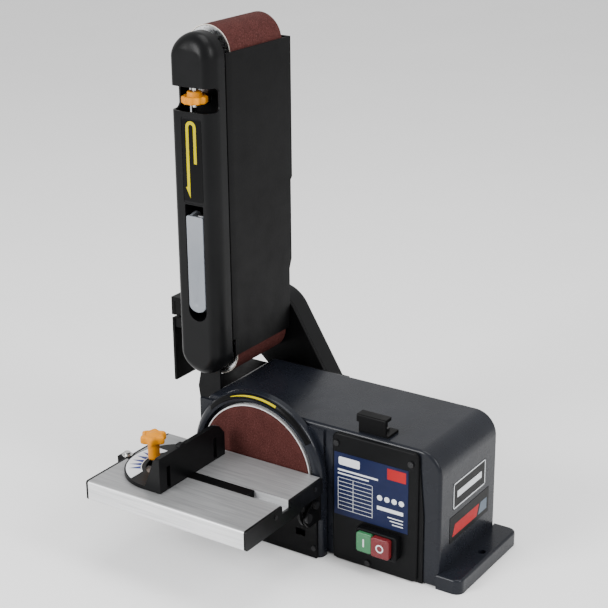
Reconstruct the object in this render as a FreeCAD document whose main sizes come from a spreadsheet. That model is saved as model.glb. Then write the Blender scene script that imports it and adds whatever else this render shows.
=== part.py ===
import FreeCAD, Part
import math
import os
import re
import Sketcher

# Bench belt and disc sander. Every position below is measured from the disc: x from the disc's axis,
# y from the disc's front face towards the back, z from the bench. disc_x and disc_y then put the whole
# machine in the row's frame, whose origin is the centre of the two bench bolts, on the bench.
SHEET = {
    "disc_x": -75.0, "disc_y": -87.0,
    # cast housing and its flanges
    "house_left": -80.0, "house_right": 239.0, "house_front": 15.0, "house_back": 151.0,
    "house_top": 165.0,
    "house_wall": 5.0, "house_round": 28.0, "house_edge": 4.0,
    "flange_high": 18.0, "flange_front": 13.0, "flange_back": 158.0, "flange_end": 267.0,
    "flange_far": -117.0,
    "bolt_mid": 87.0, "bolt_right": 256.0, "bolt_left": -106.0, "bolt_radius": 4.5,
    # disc shroud and disc
    "disc_high": 96.0, "disc_radius": 76.5, "paper_radius": 75.0, "paper_thick": 0.8, "disc_back": 9.0,
    "shroud_radius": 92.0, "shroud_round": 8.0, "shroud_recess": 81.0, "shroud_back": 12.7,
    "shroud_floor": 10.4,
    "guard_half": 88.0, "guard_low": 1.0, "guard_high": 80.0, "guard_front": -4.0, "guard_gap": -2.0,
    # motor and drive
    "shaft_radius": 6.2, "can_radius": 55.0, "can_front": 32.0, "can_back": 136.0, "fit": 0.05,
    "motor_pulley_radius": 12.8, "roller_pulley_radius": 24.0, "pulley_front": 175.0, "pulley_back": 189.0,
    "drive_belt_thick": 2.4,
    # belt arm: pivot on the drive roller's axis, idler above it
    "arm_x": -91.5, "pivot_high": 206.5, "idler_high": 568.2, "roller_radius": 29.4, "belt_inner": 29.8,
    "belt_outer": 31.0, "belt_front": 54.0, "belt_back": 155.6, "drive_shaft_radius": 6.0,
    "plate_front": 48.0, "plate_inner": 52.0, "plate_rear": 158.5, "plate_back": 162.5,
    "boss_radius": 17.0, "bearing_radius": 13.0, "yoke_front": 42.4,
    "cover_x": -88.6, "cover_high": 566.0, "cover_front": 13.5, "cover_back": 42.0, "cover_half": 28.9,
    "cover_low": 214.6, "cover_wall": 2.5, "window_low": 506.5, "window_high": 534.5, "window_deep": 31.0,
    "sheet_right": -58.3, "sheet_left": -59.8, "sheet_start": 43.2, "sheet_foot": 46.6,
    "sheet_bend": 54.0, "sheet_lean": 0.9, "sheet_low": 228.0, "sheet_high": 571.0,
    "stop_left": -151.0, "stop_right": -124.5, "stop_low": 243.0, "stop_high": 266.0,
    # tension lever and tracking knob
    "lever_x": -88.0, "lever_half": 12.0, "lever_low": 267.0, "lever_pivot": 380.0, "lever_depth": 29.0,
    "knob_x": -91.5, "knob_y": 26.4, "knob_low": 514.0, "knob_high": 523.5, "knob_radius": 15.3,
    # disc table and its trunnions
    "table_left": -128.3, "table_right": 95.7, "table_front": -153.0, "table_back": -2.0,
    "table_top": 107.4, "table_under": 87.4, "table_skirt": 83.4, "cap_thick": 3.0,
    "slot_front": -84.0, "slot_back": -68.0, "slot_floor": 98.4, "tilt_y": -12.0,
    "tilt_high": 76.0, "lock_y": -28.0, "lock_high": 66.0,
    "lock_reach": 18.87, "pin_radius": 3.0, "ear_in": 84.3, "ear_out": 87.6,
    "bracket_in": 88.6, "bracket_out": 91.6,
    # mitre gauge
    "bar_left": -140.0, "bar_right": 47.0, "bar_front": -83.7, "bar_back": -68.3, "bar_low": 98.7,
    "bar_high": 107.2, "head_x": -60.0, "head_y": -76.0, "head_low": 107.7, "head_thick": 4.5,
    "head_radius": 58.0, "fence_face": -35.0, "fence_front": -134.0, "fence_back": -12.0, "fence_high": 150.5,
    "mitre_knob_x": -90.0, "mitre_knob_low": 131.0, "mitre_knob_high": 147.0, "mitre_knob_radius": 16.0,
    # control panel, switch and buttons
    "panel_left": 101.0, "panel_right": 213.0, "panel_front": 10.0, "panel_high": 162.0,
    "switch_left": 138.0, "switch_right": 192.0, "switch_low": 25.0, "switch_high": 56.0, "switch_front": 0.0,
    "button_back": 5.0, "travel_floor": 8.2,
    # arm rest clip on the housing
    "clip_left": 129.0, "clip_right": 168.0, "clip_front": 22.0, "clip_back": 44.0, "clip_high": 187.0,
    # rear bracket and transmission cover
    "bracket_front": 164.0, "bracket_back": 168.0, "rear_back": 198.0, "rear_upper": 45.0, "rear_lower": 24.0,
}

doc = FreeCAD.newDocument("belt_grinder")
dims = doc.addObject("Spreadsheet::Sheet", "dims")
for row, (alias, number) in enumerate(SHEET.items(), start=1):
    dims.set(f"A{row}", alias)
    dims.set(f"B{row}", str(number))
    dims.setAlias(f"B{row}", alias)
doc.recompute()

TURNS = {
    "X": FreeCAD.Rotation(FreeCAD.Vector(0, 1, 0), 90),
    "Y": FreeCAD.Rotation(FreeCAD.Vector(1, 0, 0), -90),
    "Z": FreeCAD.Rotation(),
}
PLANES = {"X": "YZ_Plane", "Y": "XZ_Plane", "Z": "XY_Plane"}
NODES = []


def cells(text):
    """An expression with each alias written as the sheet's cell."""
    return re.sub(r"[a-z_]+", lambda word: f"dims.{word[0]}" if word[0] in SHEET else word[0], str(text))


def bind(item, **sizes):
    """Bind properties of a document object to expressions over the sheet."""
    for name, text in sizes.items():
        item.setExpression(name, cells(text))


def place(item, x=0, y=0, z=0, turn="Z"):
    """Put an object at a position measured from the disc, with its own Z turned to an axis."""
    item.Placement = FreeCAD.Placement(FreeCAD.Vector(), TURNS[turn])
    item.setExpression("Placement.Base.x", cells(f"disc_x + ({x})"))
    item.setExpression("Placement.Base.y", cells(f"disc_y + ({y})"))
    item.setExpression("Placement.Base.z", cells(z))
    return item


def node(label, item):
    """Name an object as one of the sub-parts."""
    item.Label = label
    NODES.append(item)
    return item


def block(x, y, z):
    """A box between a low and a high expression along each axis."""
    box = doc.addObject("Part::Box", "block")
    sides = [f"({high}) - ({low})" for low, high in (x, y, z)]
    bind(box, Length=sides[0], Width=sides[1], Height=sides[2])
    return place(box, x[0], y[0], z[0])


def rod(axis, radius, start, end, first, second):
    """A cylinder along an axis; first and second are its centre on the other two axes, in X, Y, Z order."""
    cylinder = doc.addObject("Part::Cylinder", "rod")
    bind(cylinder, Radius=radius, Height=f"({end}) - ({start})")
    spots = {"X": (start, first, second), "Y": (first, start, second), "Z": (first, second, start)}
    return place(cylinder, *spots[axis], turn=axis)


def fuse(*pieces):
    joined = doc.addObject("Part::MultiFuse", "fused")
    joined.Shapes = list(pieces)
    joined.Refine = True
    return joined


def group(*pieces):
    """Separate solids kept as one sub-part."""
    joined = doc.addObject("Part::Compound", "group")
    joined.Links = list(pieces)
    return joined


def cut(base, *tools):
    result = doc.addObject("Part::Cut", "cut")
    result.Base = base
    result.Tool = tools[0] if len(tools) == 1 else fuse(*tools)
    return result


def tube(axis, outer, inner, start, end, first, second):
    return cut(rod(axis, outer, start, end, first, second),
               rod(axis, inner, f"{start} - 1", f"{end} + 1", first, second))


def new_sketch(body, axis, low, high):
    """A sketch on the origin plane across an axis, moved to where a pad of that sketch starts."""
    sketch = body.newObject("Sketcher::SketchObject", "sketch")
    plane = [item for item in body.Origin.OriginFeatures if item.Role == PLANES[axis]][0]
    sketch.AttachmentSupport = [(plane, "")]
    sketch.MapMode = "FlatFace"
    offset = f"0 - ({high})" if axis == "Y" else low
    sketch.setExpression("AttachmentOffset.Base.z", cells(offset))
    return sketch


def fix_point(sketch, geometry, point, u, v):
    for kind, text in (("DistanceX", u), ("DistanceY", v)):
        index = sketch.addConstraint(Sketcher.Constraint(kind, -1, 1, geometry, point, 1.0))
        sketch.setExpression(f".Constraints[{index}]", cells(text))


def add_circle(sketch, u, v, radius, construction=False):
    index = sketch.addGeometry(Part.Circle(FreeCAD.Vector(1, 1, 0), FreeCAD.Vector(0, 0, 1), 5), construction)
    fix_point(sketch, index, 3, u, v)
    size = sketch.addConstraint(Sketcher.Constraint("Radius", index, 5.0))
    sketch.setExpression(f".Constraints[{size}]", cells(radius))
    return index


def add_polygon(sketch, points):
    """A closed run of lines through bound corners."""
    count = len(points)
    ring = [FreeCAD.Vector(9 * math.cos(math.tau * i / count), 9 * math.sin(math.tau * i / count), 0)
            for i in range(count)]
    first = sketch.GeometryCount
    for i in range(count):
        sketch.addGeometry(Part.LineSegment(ring[i], ring[(i + 1) % count]))
    for i in range(count):
        sketch.addConstraint(Sketcher.Constraint("Coincident", first + i, 2, first + (i + 1) % count, 1))
    for i, (u, v) in enumerate(points):
        fix_point(sketch, first + i, 1, u, v)


def pad(body, sketch, low, high):
    feature = body.newObject("PartDesign::Pad", "pad")
    feature.Profile = sketch
    bind(feature, Length=f"({high}) - ({low})")
    doc.recompute()
    return feature


def round_off(body, names, radius):
    solid = body.Tip
    feature = body.newObject("PartDesign::Fillet", "rounding")
    feature.Base = (solid, names)
    bind(feature, Radius=radius)
    doc.recompute()
    return feature


def corner_edges(body, sketch, axis, corners):
    """Names of the edges that a pad draws from the given sketch corners."""
    across = {"X": FreeCAD.Vector(1, 0, 0), "Y": FreeCAD.Vector(0, 1, 0), "Z": FreeCAD.Vector(0, 0, 1)}[axis]
    frame = body.Placement.multiply(sketch.Placement)
    spots = [frame.multVec(sketch.getPoint(corner, 1)) for corner in corners]
    names = []
    for index, edge in enumerate(body.Tip.Shape.Edges, start=1):
        ends = [vertex.Point for vertex in edge.Vertexes]
        if len(ends) != 2 or abs((ends[1] - ends[0]).normalize().dot(across)) < 0.99:
            continue
        for spot in spots:
            reach = ends[0] - (spot - body.Placement.Base)
            if (reach - across * reach.dot(across)).Length < 0.01:
                names.append(f"Edge{index}")
    return names


def rim_face(body, axis, side):
    """Name of the flat face furthest out along an axis, on its low or its high side."""
    faces = body.Tip.Shape.Faces
    sign = -1 if side == "low" else 1
    reach = [sign * getattr(face.CenterOfMass, axis.lower()) for face in faces]
    return f"Face{reach.index(max(reach)) + 1}"


def plate(axis, low, high, outline, holes=(), rounds=None, rim=None):
    """A polygon padded along an axis, with round holes, rounded corners and a rounded low or high rim."""
    body = doc.addObject("PartDesign::Body", "plate")
    place(body)
    sketch = new_sketch(body, axis, low, high)
    add_polygon(sketch, outline)
    for hole in holes:
        add_circle(sketch, *hole)
    pad(body, sketch, low, high)
    for radius, corners in (rounds or {}).items():
        round_off(body, corner_edges(body, sketch, axis, corners), radius)
    if rim:
        round_off(body, [rim_face(body, axis, rim[0])], rim[1])
    return body


def hull(low, high, start, start_radius, end, end_radius, rim=None):
    """A plate across Y bounded by two circles and their outer tangents."""
    body = doc.addObject("PartDesign::Body", "hull")
    place(body)
    sketch = new_sketch(body, "Y", low, high)
    add_circle(sketch, *start, start_radius, construction=True)
    add_circle(sketch, *end, end_radius, construction=True)
    doc.recompute()
    circles = sketch.Geometry[:2]
    run = circles[1].Center - circles[0].Center
    heading = math.atan2(run.y, run.x)
    lean = math.acos((circles[0].Radius - circles[1].Radius) / run.Length)
    upright = FreeCAD.Vector(0, 0, 1)
    spans = ((heading + lean, heading - lean + math.tau), (heading - lean, heading + lean))
    for circle, (begin, finish) in zip(circles, spans):
        arc = Part.Circle(circle.Center, upright, circle.Radius)
        sketch.addGeometry(Part.ArcOfCircle(arc, begin, finish))
    for one, other in (((2, 2), (3, 1)), ((3, 2), (2, 1))):
        sketch.addGeometry(Part.LineSegment(sketch.getPoint(*one), sketch.getPoint(*other)))
    for arc, circle in ((2, 0), (3, 1)):
        sketch.addConstraint(Sketcher.Constraint("Coincident", arc, 3, circle, 3))
        sketch.addConstraint(Sketcher.Constraint("Equal", arc, circle))
    for line, one, other in ((4, (2, 2), (3, 1)), (5, (3, 2), (2, 1))):
        sketch.addConstraint(Sketcher.Constraint("Tangent", line, 1, *one))
        sketch.addConstraint(Sketcher.Constraint("Tangent", line, 2, *other))
    pad(body, sketch, low, high)
    if rim:
        round_off(body, [rim_face(body, "Y", rim[0])], rim[1])
    return body


def screw(axis, way, head, thick, shank, reach, x, y, z):
    """A pan-head screw whose head's underside is at the position; way is the side its head faces."""
    at = {"X": x, "Y": y, "Z": z}[axis]
    others = {"X": (y, z), "Y": (x, z), "Z": (x, y)}[axis]
    head_span = (f"({at}) - {thick}", str(at)) if way < 0 else (str(at), f"({at}) + {thick}")
    stem_span = (str(at), f"({at}) + {reach}") if way < 0 else (f"({at}) - {reach}", str(at))
    return fuse(rod(axis, head, *head_span, *others), rod(axis, shank, *stem_span, *others))


# Cast housing: a rounded shell with two bench flanges and the disc shroud on its front.
def housing():
    outline = [("house_left", "0"), ("house_right", "0"), ("house_right", "house_top"),
               ("house_left", "house_top")]
    shell = plate("Y", "house_front", "house_back", outline,
                  rounds={"house_round": [2], "house_edge * 2.5": [3]})
    faces = [rim_face(shell, "Y", "low"), rim_face(shell, "Y", "high")]
    round_off(shell, faces, "house_edge")
    wall = "house_wall"
    room = plate("Y", f"house_front + {wall}", f"house_back - {wall}",
                 [(f"house_left + {wall}", "-1"), (f"house_right - {wall}", "-1"),
                  (f"house_right - {wall}", f"house_top - {wall}"),
                  (f"house_left + {wall}", f"house_top - {wall}")],
                 rounds={f"house_round - {wall}": [2]})
    arch = hull(0, "shroud_back", (0, "disc_high"), "shroud_radius", (0, -120), "shroud_radius",
                rim=("low", "shroud_round"))
    bosses = [block(sided(side, 86, "shroud_radius"), (0, "shroud_back"), (50, 86)) for side in (1, -1)]
    neck = block((-88, 88), ("shroud_back - 1", "house_front + 1"), (0, "house_top - 6"))
    right = plate("Z", 0, "flange_high",
                  [("house_right - 3", "flange_front"), ("flange_end", "flange_front"),
                   ("flange_end", "flange_back"), ("house_right - 3", "flange_back")],
                  rounds={"10": [1, 2]}, rim=("high", "3"))
    left = plate("Z", 0, "flange_high",
                 [("flange_far", "flange_front"), ("house_left + 3", "flange_front"),
                  ("house_left + 3", "flange_back"), ("flange_far", "flange_back")],
                 rounds={"9": [0, 3]}, rim=("high", "3"))
    body = fuse(cut(shell, room), arch, *bosses, neck, right, left)
    recess = fuse(rod("Y", "shroud_recess", -1, "shroud_floor", 0, "disc_high"),
                  block(("0 - shroud_recess", "shroud_recess"), (-1, "shroud_floor"), (-1, "disc_high")))
    holes = [rod("Z", "bolt_radius", -1, "flange_high + 1", spot, "bolt_mid")
             for spot in ("bolt_right", "bolt_left")]
    shaft_way = rod("Y", 16, 0, "house_front + 9", 0, "disc_high")
    rear_way = rod("Y", 16, "house_back - 9", "house_back + 1", 0, "disc_high")
    switch_way = block(("switch_left - 4", "switch_right + 4"), ("house_front - 1", "house_front + 9"),
                       ("switch_low - 4", "panel_high - 30"))
    below = block((-120, 120), (-2, "house_front + 1"), (-230, 0))
    node("housing", cut(body, recess, *holes, shaft_way, rear_way, switch_way, below))


def base_screws():
    """Screws of the fixed covers: lower guard, control panel, rear cover and rest clip."""
    guard = [screw("Y", -1, 3, 2, 1.5, 1.9, x, "guard_front", z)
             for x in (-84.5, 84.5) for z in (14, 58)]
    panel = [screw("Y", -1, 3.6, 1.8, 1.6, 4, x, "panel_front", z)
             for x, z in ((107, 150), (204, 148), (149, 7.5))]
    rear_cover = [screw("Y", 1, 3.4, 2, 1.5, 2.4, x, "rear_back", z)
                  for x, z in ((-100, 222), (-46, 150), (4, 90))]
    clip = screw("Z", 1, 4, 2.6, 1.6, 2.9, 156, 37, "house_top + 3")
    node("base_screws", group(*guard, *panel, *rear_cover, clip))


def base_parts():
    node("bottom_plate", block(("house_left + 5.5", "house_right - 5.5"), (20.5, 145.5), (2, 3.5)))
    sheet = block(("0 - guard_half", "guard_half"), ("guard_front", "guard_gap"), ("guard_low", "guard_high"))
    returns = [block((side, f"{side} + 6"), ("guard_gap", 0), ("guard_low", "guard_high"))
               for side in ("0 - guard_half", "guard_half - 6")]
    window = block((59, 72), ("guard_front - 1", 1), (25.5, 34))
    node("lower_disc_guard", cut(fuse(sheet, *returns), window))
    badges = [block(("house_right", "house_right + 0.4"), (45, 122), (86, 118)),
              block(("house_right", "house_right + 0.4"), (38, 133), (46, 78))]
    node("end_badges", group(*badges))
    node("cable_gland", fuse(rod("Y", 9, "house_back", "house_back + 4", 200, 60),
                             rod("Y", 6.5, "house_back", "house_back + 13", 200, 60)))
    foot = block(("clip_left", "clip_right"), ("clip_front", "clip_back"), ("house_top", "house_top + 3"))
    wall = block(("clip_left", "clip_right - 4"), ("clip_front", "clip_front + 3"),
                 ("house_top", "clip_high"))
    hook = plate("X", "clip_left - 1.5", "clip_right - 3",
                 [("clip_front - 2.5", "clip_high - 9"), ("clip_front + 3", "clip_high - 9"),
                  ("clip_front + 3", "clip_high - 4"), ("clip_front + 11", "clip_high - 4"),
                  ("clip_front + 11", "clip_high"), ("clip_front - 2.5", "clip_high")], rounds={"2": [5]})
    node("rest_clip", fuse(foot, wall, hook))


def controls():
    frame = [("panel_left", 1), ("panel_right", 1), ("panel_right", "panel_high"),
             ("panel_left", "panel_high")]
    face = plate("Y", "panel_front", "house_front", frame, rounds={"7": [0, 1, 2, 3]}, rim=("low", "2"))
    rim = plate("Y", "house_front - 2", "house_front",
                [("panel_left", 1), ("panel_right + 6", 1), ("panel_right + 6", 84),
                 ("panel_right", "panel_high - 9"), ("panel_left", "panel_high - 9")])
    window = block(("switch_left + 3", "switch_right - 3"), ("panel_front - 1", "house_front + 1"),
                   ("switch_low + 3", "switch_high - 3"))
    node("control_panel", cut(fuse(face, rim), window))
    node("rating_label", block((104, 201), ("panel_front - 0.4", "panel_front"), (60, 139)))
    outer = plate("Y", "switch_front", "panel_front",
                  [("switch_left", "switch_low"), ("switch_right", "switch_low"),
                   ("switch_right", "switch_high"), ("switch_left", "switch_high")],
                  rounds={"4": [0, 1, 2, 3]}, rim=("low", "1.5"))
    back = block(("switch_left + 3.2", "switch_right - 3.2"), ("panel_front", "house_front + 18"),
                 ("switch_low + 3.2", "switch_high - 3.2"))
    pocket = block((141, 186), ("switch_front - 1", "travel_floor"), (28, 53.5))
    node("switch_body", cut(fuse(outer, back), pocket))
    low, high = 28.6, 52.9
    for label, left, right, front in (("start_button", 141.4, 161.4, -4), ("stop_button", 162, 185.6, -6)):
        outline = [(left, low), (right, low), (right, high), (left, high)]
        node(label, plate("Y", front, "button_back", outline, rounds={"3": [0, 1, 2, 3]},
                          rim=("low", "1.2")))


# Motor: can, stator, rotor, shaft, fan and the disc on the front end of the shaft.
def motor():
    mid = "disc_high"
    node("motor_can", tube("Y", "can_radius", "can_radius - 2", "can_front", "can_back", 0, mid))
    node("motor_stator", tube("Y", "can_radius - 2.1", 33, 52, 116, 0, mid))
    front = tube("Y", "can_radius", "bearing_radius + fit", 22, "can_front", 0, mid)
    rear = tube("Y", "can_radius", "bearing_radius + fit", "can_back", 145, 0, mid)
    node("motor_end_bells", group(front, rear))
    node("motor_bearings", group(tube("Y", "bearing_radius", "shaft_radius + fit", 23, 31, 0, mid),
                                 tube("Y", "bearing_radius", "shaft_radius + fit", 136.5, 144.5, 0, mid)))
    node("motor_shaft", rod("Y", "shaft_radius", 4, "pulley_back + 2", 0, mid))
    node("rotor_core", tube("Y", 32.2, "shaft_radius + fit", 50, 118, 0, mid))
    blades = [turned_blade(index, 9) for index in range(9)]
    hub = tube("Y", 12, "shaft_radius + fit", 121, 130, 0, mid)
    node("motor_fan", fuse(hub, tube("Y", 42, 11, 121, 123, 0, mid), *blades))
    node("capacitor", rod("X", 15, 75, 125, 110, 30))
    node("disc_plate", cut(fuse(rod("Y", "disc_radius", "paper_thick", "disc_back", 0, mid),
                                rod("Y", 14, "disc_back", 20, 0, mid)),
                           rod("Y", "shaft_radius + fit", 3.9, 21, 0, mid)))
    node("disc_paper", rod("Y", "paper_radius", 0, "paper_thick", 0, mid))
    node("motor_pulley", pulley("motor_pulley_radius", "shaft_radius + fit", 0, mid))


def turned_blade(index, count):
    """One straight blade of the cooling fan, turned about the motor's axis."""
    blade = doc.addObject("Part::Box", "blade")
    bind(blade, Length=1.6, Width=7, Height=28)
    angle = 360 / count * index
    turn = FreeCAD.Rotation(FreeCAD.Vector(0, 1, 0), angle)
    arm = turn.multVec(FreeCAD.Vector(-0.8, 0, 13))
    blade.Placement = FreeCAD.Placement(FreeCAD.Vector(), turn)
    blade.setExpression("Placement.Base.x", cells(f"disc_x + ({arm.x})"))
    blade.setExpression("Placement.Base.y", cells("disc_y + 123"))
    blade.setExpression("Placement.Base.z", cells(f"disc_high + ({arm.z})"))
    return blade


def pulley(radius, bore, x, z):
    """A belt pulley with two side flanges."""
    drum = rod("Y", radius, "pulley_front", "pulley_back", x, z)
    sides = [rod("Y", f"{radius} + 1.6", start, end, x, z)
             for start, end in (("pulley_front - 1.5", "pulley_front"), ("pulley_back", "pulley_back + 1.5"))]
    return cut(fuse(drum, *sides), rod("Y", bore, "pulley_front - 3", "pulley_back + 3", x, z))


# Rear: bracket plate that carries the arm's rear pivot, the drive belt and the cover over it.
PIVOT = ("arm_x", "pivot_high")
MOTOR = ("0", "disc_high")


def rear():
    sheet = hull("bracket_front", "bracket_back", PIVOT, "rear_upper", MOTOR, "rear_lower")
    boss = rod("Y", "boss_radius", "plate_rear - 0.8", "bracket_front + 1", *PIVOT)
    block_low = block((-72, 28), ("house_back", "bracket_front + 1"), (62, 158))
    holes = (rod("Y", "bearing_radius", "plate_rear - 5", "bracket_front + 2", *PIVOT),
             rod("Y", "drive_shaft_radius + 2", "plate_rear - 5", "bracket_back + 2", *PIVOT),
             rod("Y", 9, "house_back - 2", "bracket_back + 2", *MOTOR))
    node("rear_bracket", cut(fuse(sheet, boss, block_low), *holes))
    shell = hull("bracket_back", "rear_back", PIVOT, "rear_upper", MOTOR, "rear_lower", rim=("high", "6"))
    room = hull("bracket_back - 1", "rear_back - 2.5", PIVOT, "rear_upper - 2.5", MOTOR, "rear_lower - 2.5")
    node("rear_cover", cut(shell, room))
    gap = 0.4
    outer = hull("pulley_front + 0.6", "pulley_back - 0.6",
                 PIVOT, f"roller_pulley_radius + {gap} + drive_belt_thick",
                 MOTOR, f"motor_pulley_radius + {gap} + drive_belt_thick")
    inner = hull("pulley_front", "pulley_back", PIVOT, f"roller_pulley_radius + {gap}",
                 MOTOR, f"motor_pulley_radius + {gap}")
    node("drive_belt", cut(outer, inner))


# Front yoke: the black casting on the housing's left wall with the arm's front pivot.
def yoke():
    ear = plate("Y", "yoke_front", 46,
                [(-113.5, 158), (-107, 108), ("house_left", 100), ("house_left", 158),
                 ("arm_x + 11", "pivot_high + 3"), ("arm_x - 11", "pivot_high + 3")])
    ring = rod("Y", "boss_radius", "yoke_front", 46, *PIVOT)
    boss = rod("Y", "boss_radius", 45, "plate_inner + 0.8", *PIVOT)
    web = block((-112, "house_left"), (45, 149), (108, 157))
    body = cut(fuse(ear, ring, boss, web), rod("Y", "bearing_radius", 43, 60, *PIVOT))
    node("pivot_yoke", body)
    node("yoke_bolts", group(*[rod("X", 4, "house_left + 5", "house_left + 9", y, z)
                               for y in (65, 130) for z in (118, 146)]))
    node("pivot_bearings", group(
        tube("Y", "bearing_radius - 0.02", "drive_shaft_radius + fit", 43.2, 52.6, *PIVOT),
        tube("Y", "bearing_radius - 0.05", "drive_shaft_radius + fit", 157.9, 165.9, *PIVOT)))


def roller(high, bore):
    """A hollow roller with a thick end wall round its axle at each end."""
    mid = ("arm_x", high)
    drum = tube("Y", "roller_radius", "roller_radius - 4", "belt_front", "belt_back", *mid)
    ends = [tube("Y", "roller_radius - 3.9", bore, start, end, *mid)
            for start, end in (("belt_front + 2", "belt_front + 12"), ("belt_back - 12", "belt_back - 2"))]
    return fuse(drum, *ends)


def drive_parts():
    node("drive_roller", roller("pivot_high", "drive_shaft_radius + fit"))
    node("drive_shaft", rod("Y", "drive_shaft_radius", 43.6, "pulley_back + 2", *PIVOT))
    node("roller_pulley", pulley("roller_pulley_radius", "drive_shaft_radius + fit", *PIVOT))


# Belt arm: two side plates and a spine inside the belt loop, with the platen, cover and guards.
IDLER = ("arm_x", "idler_high")


def side_plate(front, back, edge):
    ring = rod("Y", 26, front, back, *PIVOT)
    sheet = block(("arm_x - 20", edge), (front, back), ("pivot_high + 36", "idler_high - 18"))
    neck = block(("arm_x - 20", "arm_x + 20"), (front, back), ("pivot_high + 8", "pivot_high + 40"))
    hole = rod("Y", "boss_radius + fit", f"{front} - 1", f"{back} + 1", *PIVOT)
    slot = block((-98.6, -84.4), (f"{front} - 1", f"{back} + 1"), (511, 545))
    return cut(fuse(ring, sheet, neck), hole, slot)


def belt_arm():
    spine = block((-104, -100), ("plate_inner - 1", "plate_rear + 1"), (250, 500))
    feet = [block((-104, -80), ("plate_inner - 1", "plate_rear + 1"), (z, f"{z} + 4")) for z in (250, 496)]
    seats = [block((-117.5, -103), (66, 144), (z, f"{z} + 12")) for z in (270, 380, 470)]
    node("arm_frame", fuse(side_plate("plate_front", "plate_inner", "sheet_left - 0.8"),
                           side_plate("plate_rear", "plate_back", "sheet_left"), spine, *feet, *seats))
    node("platen", plate("Y", "plate_inner + 1.5", "plate_rear - 1.5",
                         [(-120.9, 244), (-117.5, 244), (-117.5, 528), (-120.9, 528)],
                         rounds={"1.5": [0, 3]}))
    outside = hull("belt_front", "belt_back", IDLER, "belt_outer", PIVOT, "belt_outer")
    inside = hull("belt_front - 1", "belt_back + 1", IDLER, "belt_inner", PIVOT, "belt_inner")
    node("abrasive_belt", cut(outside, inside))
    node("belt_guard", guard_sheet())
    node("work_stop", work_stop())
    node("stop_guard", fuse(block((-149.5, -146), (41, 158), (158, 240)),
                            block((-149.5, -108), (42.5, 47.9), (228, 240))))
    node("tension_spring", tube("Z", 4.5, 3.1, 500, 523.6, "arm_x", 105))


def guard_sheet():
    """The black sheet behind the belt: a bent front strip, a stepped rear edge and a return at the top."""
    sheet = plate("X", "sheet_left", "sheet_right",
                  [("sheet_foot", 207), (160, 207), (163.2, 240), (163.2, 284), (168, 296), (168, 397),
                   (171, 400), (171, "sheet_high"), ("sheet_bend", "sheet_high"), ("sheet_bend", "sheet_low"),
                   ("sheet_foot", "sheet_low")])
    strip = plate("Z", "sheet_low", "sheet_high",
                  [("sheet_left - sheet_lean", "sheet_start"), ("sheet_right - sheet_lean", "sheet_start"),
                   ("sheet_right", "sheet_bend"), ("sheet_left", "sheet_bend")])
    back = block((-72, "sheet_left + 1"), (169.5, 171), (436, "sheet_high"))
    tie = block((-72, "sheet_left + 1"), ("plate_back", 171), (446, 470))
    return fuse(sheet, strip, back, tie)


def work_stop():
    top = block(("stop_left", "stop_right"), (42.5, 160), ("stop_high - 5", "stop_high"))
    apron = block(("stop_left", "stop_left + 5"), (42.5, 160), ("stop_low", "stop_high"))
    ear = block(("stop_left", -98), (43.2, 47.9), ("stop_low", "stop_high"))
    return cut(fuse(top, apron, ear), rod("Y", 2.1, 40, 50, -105, 254.5))


def cover_shell():
    top = ("cover_x", "cover_high")
    bottom = ("cover_x", "cover_low")
    outer = hull("cover_front", "cover_back", top, "cover_half", bottom, "cover_half", rim=("low", "10"))
    inner = hull("cover_front + cover_wall", "cover_back + 1", top, "cover_half - cover_wall",
                 bottom, "cover_half - cover_wall", rim=("low", "7.5"))
    window = plate("X", "cover_x - cover_half - 5", "cover_x + cover_half + 5",
                   [("cover_front - 5", "window_low"), ("window_deep", "window_low"),
                    ("window_deep", "window_high"), ("cover_front - 5", "window_high")], rounds={"6": [1, 2]})
    skirt = block(("cover_x - cover_half", "cover_x - cover_half + cover_wall"), ("cover_back - 1", 47.4),
                  (496, 546))
    pads = [rod("Y", 4, "cover_front + cover_wall - 0.5", "plate_front", x, z)
            for x, z in ((-107, 420), (-107, 492), (-67.5, 270), (-67.5, 420))]
    tray = block(("lever_x - lever_half - 3", "lever_x + lever_half + 3"), ("cover_front + 1", 39),
                 (254, 400))
    lever_way = block(("lever_x - lever_half - 1", "lever_x + lever_half + 1"), ("cover_front - 1", 37),
                      (256, 398))
    return cut(fuse(cut(outer, inner), skirt, tray, *pads), window, lever_way)


def arm_controls():
    node("arm_cover", cover_shell())
    node("arm_screws", screw("Y", -1, 4, 2, 2, 5.8, -105, 43.2, 254.5))
    node("direction_label", block(("lever_x - 13.5", "lever_x + 13.5"), ("cover_front - 0.3", "cover_front"),
                                  (402, 498)))
    half = "lever_half"
    bar = plate("X", f"lever_x - {half}", f"lever_x + {half}",
                [("cover_front - 0.6", "lever_low"), ("cover_front + 3.5", "lever_low"),
                 ("cover_front + 4.5", "lever_pivot - 10"), ("lever_depth - 4", "lever_pivot - 6"),
                 ("lever_depth", "lever_pivot + 5"), ("cover_front + 3", "lever_pivot + 6"),
                 ("cover_front - 0.6", "lever_pivot + 2")])
    hub = rod("X", 6.5, f"lever_x - {half}", f"lever_x + {half}", "lever_depth", "lever_pivot")
    bore = rod("X", "pin_radius + fit", f"lever_x - {half} - 1", f"lever_x + {half} + 1",
               "lever_depth", "lever_pivot")
    node("tension_lever", cut(fuse(bar, hub), bore))
    node("lever_pin", rod("X", "pin_radius", f"lever_x - {half} - 1", f"lever_x + {half} + 1",
                          "lever_depth", "lever_pivot"))
    knob = lobed_knob(10, "knob_radius", 2.6, "knob_x", "knob_y", "knob_low", "knob_high")
    collar = rod("Z", 8.5, "knob_high - 1", "knob_high + 5", "knob_x", "knob_y")
    way = rod("Z", 3.05, "knob_low - 1", "knob_high + 9", "knob_x", "knob_y")
    node("tracking_knob", cut(fuse(knob, collar), way))


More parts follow.
